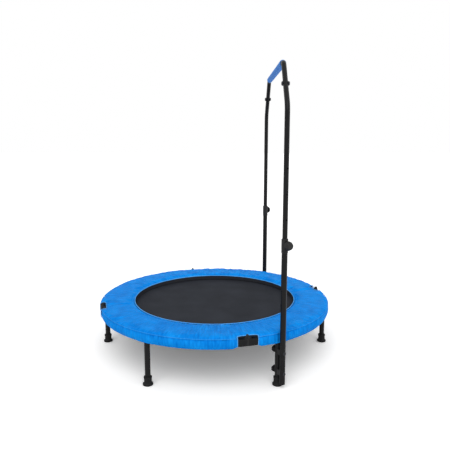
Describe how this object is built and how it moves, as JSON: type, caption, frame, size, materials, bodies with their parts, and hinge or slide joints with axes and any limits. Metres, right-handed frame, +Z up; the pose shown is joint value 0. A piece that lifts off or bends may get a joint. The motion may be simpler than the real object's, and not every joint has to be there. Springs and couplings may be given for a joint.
{
  "type": "mini trampoline",
  "caption": "Round folding mini trampoline with a blue padded edge, a charcoal mat, short legs and a tall adjustable handle with a foam grip.",
  "frame": {"origin": "on the floor under the centre of the jumping mat, which is the centre of the footprint", "axes": "+Z up along the handle's height, +X from the mat's centre towards the handle, +Y along the handle bar"},
  "size_m": [1.0338, 1.0218, 1.2225],
  "materials": {
    "frame_black": "glossy black powder coat",
    "hinge_black": "satin black",
    "pin_black": "satin black rivet",
    "bolt_black": "black zinc",
    "rubber_black": "matte",
    "plastic_black": "satin moulded",
    "spring_zinc": "zinc plated",
    "mat_charcoal": "woven, matte",
    "pad_blue": "coated cloth over foam, soft sheen",
    "foam_blue": "closed-cell foam, matte"
  },
  "bodies": {
    "fixed_frame": {"frame_arc_front_right": "frame_black", "frame_arc_back_right": "frame_black", "right_hinge_front_half": "hinge_black", "right_hinge_back_half": "hinge_black", "right_hinge_pin": "pin_black", "back_hinge_right_half": "hinge_black", "back_hinge_pin": "pin_black", "front_hinge_right_half": "hinge_black", "front_hinge_pin": "pin_black", "leg_right": "frame_black", "foot_right": "rubber_black", "leg_back_right": "frame_black", "foot_back_right": "rubber_black", "leg_front_right": "frame_black", "foot_front_right": "rubber_black", "mat_fixed_half": "mat_charcoal", "pad_fixed_half": "pad_blue", "v_rings_fixed_half": "spring_zinc", "springs_fixed_half": "spring_zinc", "lower_upright_back": "frame_black", "lower_upright_front": "frame_black", "end_plug_back": "plastic_black", "end_plug_front": "plastic_black", "collar_back": "plastic_black", "collar_front": "plastic_black", "saddles_back": "plastic_black", "saddles_front": "plastic_black", "clamp_bolts_back": "bolt_black", "clamp_bolts_front": "bolt_black"},
    "folding_frame": {"frame_arc_back_left": "frame_black", "frame_arc_front_left": "frame_black", "left_hinge_back_half": "hinge_black", "left_hinge_front_half": "hinge_black", "left_hinge_pin": "pin_black", "back_hinge_left_half": "hinge_black", "front_hinge_left_half": "hinge_black", "leg_back_left": "frame_black", "foot_back_left": "rubber_black", "leg_left": "frame_black", "foot_left": "rubber_black", "leg_front_left": "frame_black", "foot_front_left": "rubber_black", "mat_folding_half": "mat_charcoal", "pad_folding_half": "pad_blue", "v_rings_folding_half": "spring_zinc", "springs_folding_half": "spring_zinc"},
    "handle": {"upper_upright_back": "frame_black", "upper_upright_front": "frame_black", "splice_bolt_back": "bolt_black", "splice_bolt_front": "bolt_black", "handle_bar": "frame_black", "foam_grip": "foam_blue"},
    "adjuster_back": {"adjuster_back": "plastic_black"},
    "adjuster_front": {"adjuster_front": "plastic_black"},
    "clamp_knob_low_back": {"clamp_knob_low_back": "plastic_black"},
    "clamp_knob_high_back": {"clamp_knob_high_back": "plastic_black"},
    "clamp_knob_low_front": {"clamp_knob_low_front": "plastic_black"},
    "clamp_knob_high_front": {"clamp_knob_high_front": "plastic_black"}
  },
  "joints": [
    {"name": "fold", "type": "hinge", "parent": "fixed_frame", "child": "folding_frame", "pos_m": [0, 0, 0.2207], "axis": [-0.2588, 0.9659, 0], "range_deg": [0, 177]},
    {"name": "handle_height", "type": "slide", "parent": "fixed_frame", "child": "handle", "axis": [0, 0, 1], "range_m": [-0.276, 0]},
    {"name": "adjuster_back_pull", "type": "slide", "parent": "fixed_frame", "child": "adjuster_back", "axis": [0.5, 0.866, 0], "range_m": [0, 0.008], "stiffness_N_per_m": 600, "springref_m": -0.005},
    {"name": "adjuster_front_pull", "type": "slide", "parent": "fixed_frame", "child": "adjuster_front", "axis": [0.5, -0.866, 0], "range_m": [0, 0.008], "stiffness_N_per_m": 600, "springref_m": -0.005},
    {"name": "clamp_knob_low_back_turn", "type": "hinge", "parent": "fixed_frame", "child": "clamp_knob_low_back", "pos_m": [0.23895, 0.41387, 0.059], "axis": [-0.5, -0.866, 0], "range_deg": [0, 1080]},
    {"name": "clamp_knob_high_back_turn", "type": "hinge", "parent": "fixed_frame", "child": "clamp_knob_high_back", "pos_m": [0.23895, 0.41387, 0.14], "axis": [-0.5, -0.866, 0], "range_deg": [0, 1080]},
    {"name": "clamp_knob_low_front_turn", "type": "hinge", "parent": "fixed_frame", "child": "clamp_knob_low_front", "pos_m": [0.23895, -0.41387, 0.059], "axis": [-0.5, 0.866, 0], "range_deg": [0, 1080]},
    {"name": "clamp_knob_high_front_turn", "type": "hinge", "parent": "fixed_frame", "child": "clamp_knob_high_front", "pos_m": [0.23895, -0.41387, 0.14], "axis": [-0.5, 0.866, 0], "range_deg": [0, 1080]}
  ]
}
